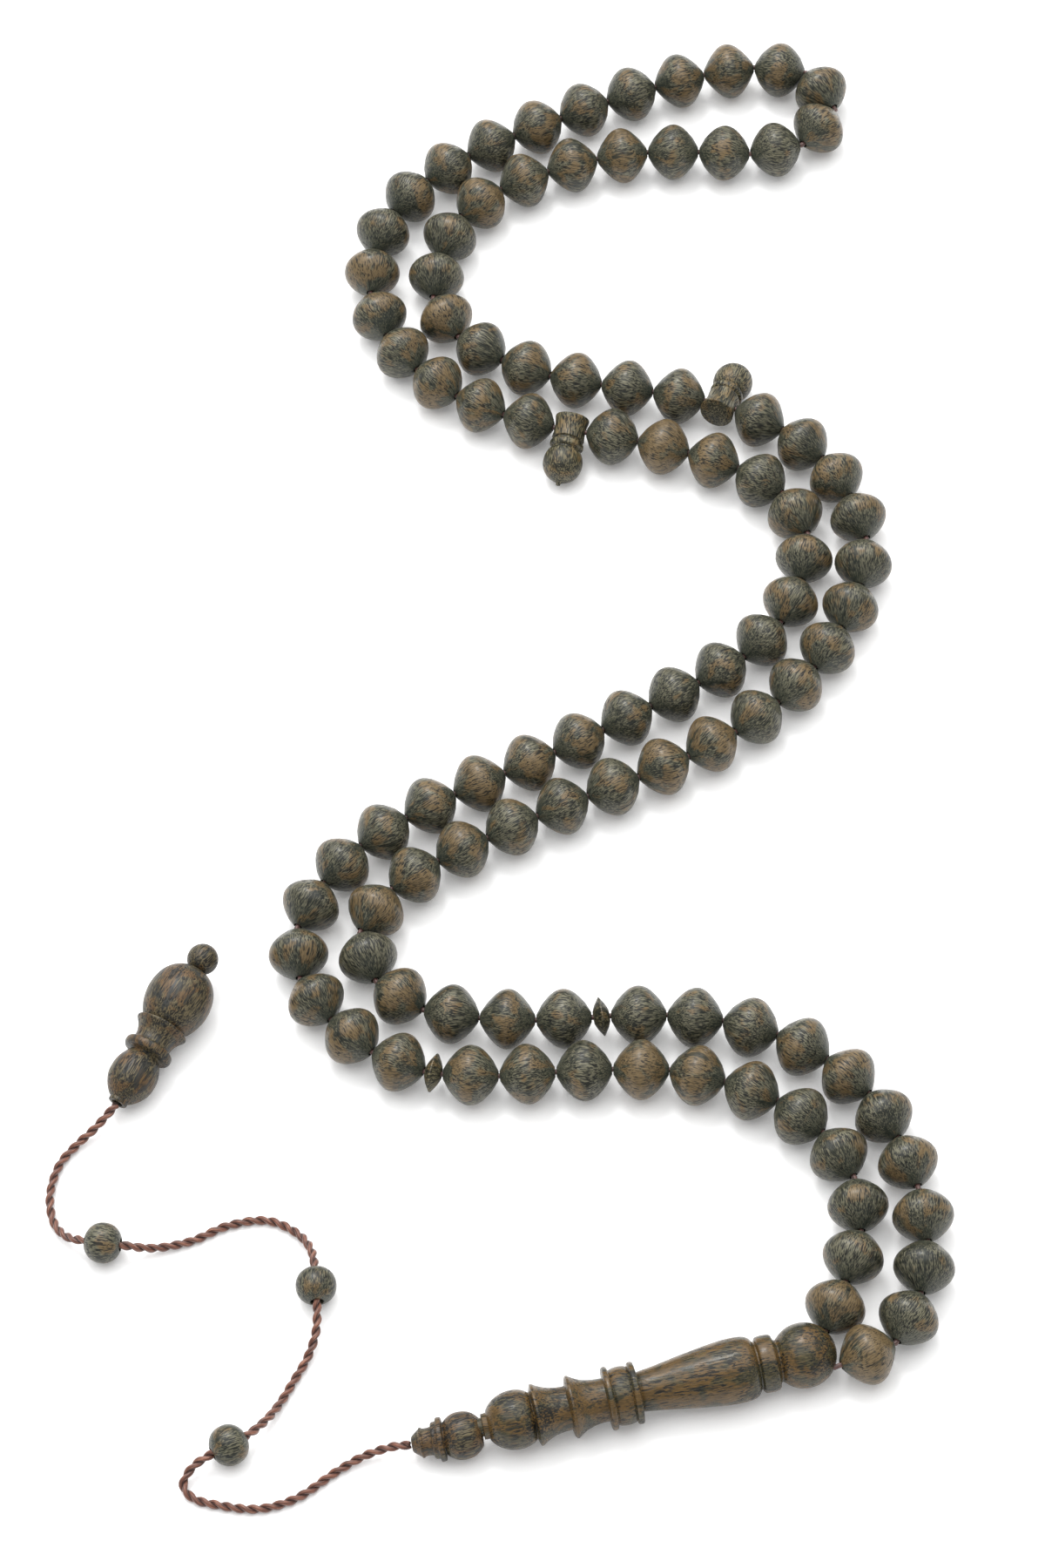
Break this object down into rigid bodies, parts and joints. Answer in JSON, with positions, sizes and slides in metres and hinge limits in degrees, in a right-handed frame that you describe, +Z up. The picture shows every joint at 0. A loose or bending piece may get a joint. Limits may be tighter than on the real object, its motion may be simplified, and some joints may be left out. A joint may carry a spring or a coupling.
{
  "type": "misbaha prayer beads",
  "caption": "Misbaha of turned olive and brown wooden beads laid in a doubled S, with two dividers, thin counting discs, a long turned head piece and a twisted drop cord with a turned finial",
  "frame": {"origin": "the middle of the laid-out strand, head piece and cap, on the table under them (the drop cord, its three beads and the finial are left out of the box)", "axes": "+X to the right across the strand, +Y along the laid-out strand from the head piece towards the far turn, +Z up from the table"},
  "size_m": [0.1529, 0.2816, 0.011],
  "materials": {
    "bead_wood": "polished olive green hardwood with brown patches and fine dark ticks of grain",
    "head_wood": "polished olive brown hardwood with short dark ticks along the grain",
    "finial_wood": "polished brown hardwood with olive and dark streaks along its length",
    "divider_wood": "polished golden olive hardwood with dark green streaks along its length",
    "loop_cord": "thin pinkish brown braided cord",
    "drop_cord": "copper brown two-ply twisted cord with a silky sheen"
  },
  "bodies": {
    "head": {"imame": "head_wood", "end_knot": "drop_cord", "cord_in_imame": "loop_cord", "loop_cord_head_out": "loop_cord", "loop_cord_head_back": "loop_cord"},
    "first_reach": {"loop_cord_reach_1_out": "loop_cord", "loop_cord_reach_1_back": "loop_cord", "beads_12_to_16": "bead_wood", "beads_85_to_88": "bead_wood"},
    "second_reach": {"loop_cord_reach_2_out": "loop_cord", "loop_cord_reach_2_back": "loop_cord", "beads_17_to_29": "bead_wood", "beads_72_to_84": "bead_wood"},
    "third_reach": {"loop_cord_reach_3_out": "loop_cord", "loop_cord_reach_3_back": "loop_cord", "beads_30_to_32": "bead_wood", "beads_35_to_39": "bead_wood", "beads_62_to_65": "bead_wood", "beads_68_to_71": "bead_wood"},
    "far_turn": {"loop_cord_far_turn": "loop_cord", "beads_40_to_49": "bead_wood", "beads_51_to_61": "bead_wood"},
    "pendant": {"drop_cord": "drop_cord"},
    "finial": {"finial": "finial_wood", "finial_ball": "finial_wood"},
    "divider_1": {"divider_1": "divider_wood"},
    "divider_2": {"divider_2": "divider_wood"},
    "disc_1": {"disc_1": "divider_wood"},
    "disc_2": {"disc_2": "divider_wood"},
    "cap": {"cap": "finial_wood"},
    "drop_bead_1": {"drop_bead_1": "bead_wood"},
    "drop_bead_2": {"drop_bead_2": "bead_wood"},
    "drop_bead_3": {"drop_bead_3": "bead_wood"},
    "bead_01": {"bead_01": "bead_wood"},
    "bead_02": {"bead_02": "bead_wood"},
    "bead_03": {"bead_03": "bead_wood"},
    "bead_04": {"bead_04": "bead_wood"},
    "bead_05": {"bead_05": "bead_wood"},
    "bead_06": {"bead_06": "bead_wood"},
    "bead_07": {"bead_07": "bead_wood"},
    "bead_08": {"bead_08": "bead_wood"},
    "bead_09": {"bead_09": "bead_wood"},
    "bead_10": {"bead_10": "bead_wood"},
    "bead_11": {"bead_11": "bead_wood"},
    "bead_33": {"bead_33": "bead_wood"},
    "bead_34": {"bead_34": "bead_wood"},
    "bead_50": {"bead_50": "bead_wood"},
    "bead_66": {"bead_66": "bead_wood"},
    "bead_67": {"bead_67": "bead_wood"},
    "bead_89": {"bead_89": "bead_wood"},
    "bead_90": {"bead_90": "bead_wood"},
    "bead_91": {"bead_91": "bead_wood"},
    "bead_92": {"bead_92": "bead_wood"},
    "bead_93": {"bead_93": "bead_wood"},
    "bead_94": {"bead_94": "bead_wood"},
    "bead_95": {"bead_95": "bead_wood"},
    "bead_96": {"bead_96": "bead_wood"},
    "bead_97": {"bead_97": "bead_wood"},
    "bead_98": {"bead_98": "bead_wood"},
    "bead_99": {"bead_99": "bead_wood"}
  },
  "joints": [
    {"name": "fold_1", "type": "hinge", "parent": "head", "child": "first_reach", "pos_m": [0.03966, -0.09719, 0.005], "axis": [0.9559, -0.2938, 0], "range_deg": [0, 35]},
    {"name": "fold_2", "type": "hinge", "parent": "first_reach", "child": "second_reach", "pos_m": [-0.04701, -0.04124, 0.005], "axis": [0.9789, -0.2043, 0], "range_deg": [0, 35]},
    {"name": "fold_3", "type": "hinge", "parent": "second_reach", "child": "third_reach", "pos_m": [0.04493, 0.02842, 0.005], "axis": [0.9714, -0.2376, 0], "range_deg": [0, 35]},
    {"name": "fold_4", "type": "hinge", "parent": "third_reach", "child": "far_turn", "pos_m": [-0.02669, 0.08828, 0.005], "axis": [0.9778, -0.2096, 0], "range_deg": [0, 35]},
    {"name": "flip_divider_1", "type": "hinge", "parent": "third_reach", "child": "divider_1", "pos_m": [0.0276, 0.05853, 0.005], "axis": [0.9018, -0.4322, 0], "range_deg": [0, 110]},
    {"name": "flip_divider_2", "type": "hinge", "parent": "third_reach", "child": "divider_2", "pos_m": [0.00071, 0.05609, 0.005], "axis": [-0.9553, 0.2957, 0], "range_deg": [0, 110]},
    {"name": "swing_pendant", "type": "hinge", "parent": "head", "child": "pendant", "pos_m": [-0.03929, -0.13501, 0.00321], "axis": [0, 0, 1], "range_deg": [0, 35]},
    {"name": "swing_finial", "type": "hinge", "parent": "pendant", "child": "finial", "pos_m": [-0.08334, -0.06971, 0.00359], "axis": [0, 0, 1], "range_deg": [-25, 25]},
    {"name": "slide_bead_01", "type": "slide", "parent": "head", "child": "bead_01", "axis": [-0.9508, -0.3097, 0], "range_m": [0, 0.0004]},
    {"name": "spin_cap", "type": "hinge", "parent": "head", "child": "cap", "pos_m": [-0.02829, -0.13434, 0.00407], "axis": [-0.9951, -0.0609, -0.0785], "continuous": true},
    {"name": "spin_drop_bead_1", "type": "hinge", "parent": "pendant", "child": "drop_bead_1", "pos_m": [-0.06786, -0.13238, 0.0033], "axis": [0.9063, 0.4226, 0], "continuous": true},
    {"name": "spin_drop_bead_2", "type": "hinge", "parent": "pendant", "child": "drop_bead_2", "pos_m": [-0.05266, -0.10578, 0.0033], "axis": [0, 1, 0], "continuous": true},
    {"name": "spin_drop_bead_3", "type": "hinge", "parent": "pendant", "child": "drop_bead_3", "pos_m": [-0.08646, -0.09478, 0.0033], "axis": [-0.9744, 0.225, 0], "continuous": true},
    {"name": "spin_disc_1", "type": "hinge", "parent": "first_reach", "child": "disc_1", "pos_m": [-0.00328, -0.06214, 0.005], "axis": [-1, 0.0054, 0], "continuous": true},
    {"name": "spin_disc_2", "type": "hinge", "parent": "first_reach", "child": "disc_2", "pos_m": [-0.0316, -0.06985, 0.005], "axis": [0.9636, -0.2675, 0], "continuous": true},
    {"name": "spin_bead_02", "type": "hinge", "parent": "head", "child": "bead_02", "pos_m": [0.0405, -0.12147, 0.005], "axis": [0.5074, 0.8617, 0], "continuous": true},
    {"name": "spin_bead_03", "type": "hinge", "parent": "head", "child": "bead_03", "pos_m": [0.04393, -0.11289, 0.005], "axis": [0.2257, 0.9742, 0], "continuous": true},
    {"name": "spin_bead_04", "type": "hinge", "parent": "head", "child": "bead_04", "pos_m": [0.04482, -0.10371, 0.005], "axis": [-0.0346, 0.9994, 0], "continuous": true},
    {"name": "spin_bead_05", "type": "hinge", "parent": "first_reach", "child": "bead_05", "pos_m": [0.04348, -0.09387, 0.005], "axis": [-0.2339, 0.9723, 0], "continuous": true},
    {"name": "spin_bead_06", "type": "hinge", "parent": "first_reach", "child": "bead_06", "pos_m": [0.04056, -0.08512, 0.005], "axis": [-0.3975, 0.9176, 0], "continuous": true},
    {"name": "spin_bead_07", "type": "hinge", "parent": "first_reach", "child": "bead_07", "pos_m": [0.03565, -0.07729, 0.005], "axis": [-0.6524, 0.7579, 0], "continuous": true},
    {"name": "spin_bead_08", "type": "hinge", "parent": "first_reach", "child": "bead_08", "pos_m": [0.02886, -0.07106, 0.005], "axis": [-0.8119, 0.5838, 0], "continuous": true},
    {"name": "spin_bead_09", "type": "hinge", "parent": "first_reach", "child": "bead_09", "pos_m": [0.02077, -0.06663, 0.005], "axis": [-0.9287, 0.3709, 0], "continuous": true},
    {"name": "spin_bead_10", "type": "hinge", "parent": "first_reach", "child": "bead_10", "pos_m": [0.01195, -0.06391, 0.005], "axis": [-0.9766, 0.215, 0], "continuous": true},
    {"name": "spin_bead_11", "type": "hinge", "parent": "first_reach", "child": "bead_11", "pos_m": [0.00281, -0.06254, 0.005], "axis": [-0.9966, 0.0827, 0], "continuous": true},
    {"name": "spin_bead_33", "type": "hinge", "parent": "third_reach", "child": "bead_33", "pos_m": [0.03405, 0.05463, 0.005], "axis": [-0.8224, 0.5689, 0], "continuous": true},
    {"name": "spin_bead_34", "type": "hinge", "parent": "third_reach", "child": "bead_34", "pos_m": [0.02055, 0.06121, 0.005], "axis": [-0.9524, 0.305, 0], "continuous": true},
    {"name": "spin_bead_50", "type": "hinge", "parent": "far_turn", "child": "bead_50", "pos_m": [0.05223, 0.12663, 0.005], "axis": [-0.4124, 0.911, 0], "continuous": true},
    {"name": "spin_bead_66", "type": "hinge", "parent": "third_reach", "child": "bead_66", "pos_m": [-0.00634, 0.05882, 0.005], "axis": [0.9156, -0.402, 0], "continuous": true},
    {"name": "spin_bead_67", "type": "hinge", "parent": "third_reach", "child": "bead_67", "pos_m": [0.00793, 0.05386, 0.005], "axis": [0.9555, -0.2949, 0], "continuous": true},
    {"name": "spin_bead_89", "type": "hinge", "parent": "first_reach", "child": "bead_89", "pos_m": [-0.02559, -0.07089, 0.005], "axis": [0.9901, -0.1404, 0], "continuous": true},
    {"name": "spin_bead_90", "type": "hinge", "parent": "first_reach", "child": "bead_90", "pos_m": [-0.01638, -0.07162, 0.005], "axis": [0.9999, -0.0166, 0], "continuous": true},
    {"name": "spin_bead_91", "type": "hinge", "parent": "first_reach", "child": "bead_91", "pos_m": [-0.00712, -0.07191, 0.005], "axis": [0.9989, -0.0463, 0], "continuous": true},
    {"name": "spin_bead_92", "type": "hinge", "parent": "first_reach", "child": "bead_92", "pos_m": [0.00211, -0.07263, 0.005], "axis": [0.9941, -0.1087, 0], "continuous": true},
    {"name": "spin_bead_93", "type": "hinge", "parent": "first_reach", "child": "bead_93", "pos_m": [0.01111, -0.07461, 0.005], "axis": [0.9481, -0.3178, 0], "continuous": true},
    {"name": "spin_bead_94", "type": "hinge", "parent": "first_reach", "child": "bead_94", "pos_m": [0.0196, -0.07823, 0.005], "axis": [0.8854, -0.4648, 0], "continuous": true},
    {"name": "spin_bead_95", "type": "hinge", "parent": "first_reach", "child": "bead_95", "pos_m": [0.02707, -0.08366, 0.005], "axis": [0.7153, -0.6988, 0], "continuous": true},
    {"name": "spin_bead_96", "type": "hinge", "parent": "first_reach", "child": "bead_96", "pos_m": [0.03248, -0.09116, 0.005], "axis": [0.4374, -0.8993, 0], "continuous": true},
    {"name": "spin_bead_97", "type": "hinge", "parent": "head", "child": "bead_97", "pos_m": [0.03469, -0.10064, 0.005], "axis": [0.0066, -1, 0], "continuous": true},
    {"name": "spin_bead_98", "type": "hinge", "parent": "head", "child": "bead_98", "pos_m": [0.03302, -0.10975, 0.005], "axis": [-0.3627, -0.9319, 0], "continuous": true},
    {"name": "spin_bead_99", "type": "hinge", "parent": "head", "child": "bead_99", "pos_m": [0.02929, -0.11822, 0.005], "axis": [-0.4421, -0.8969, 0], "continuous": true}
  ]
}
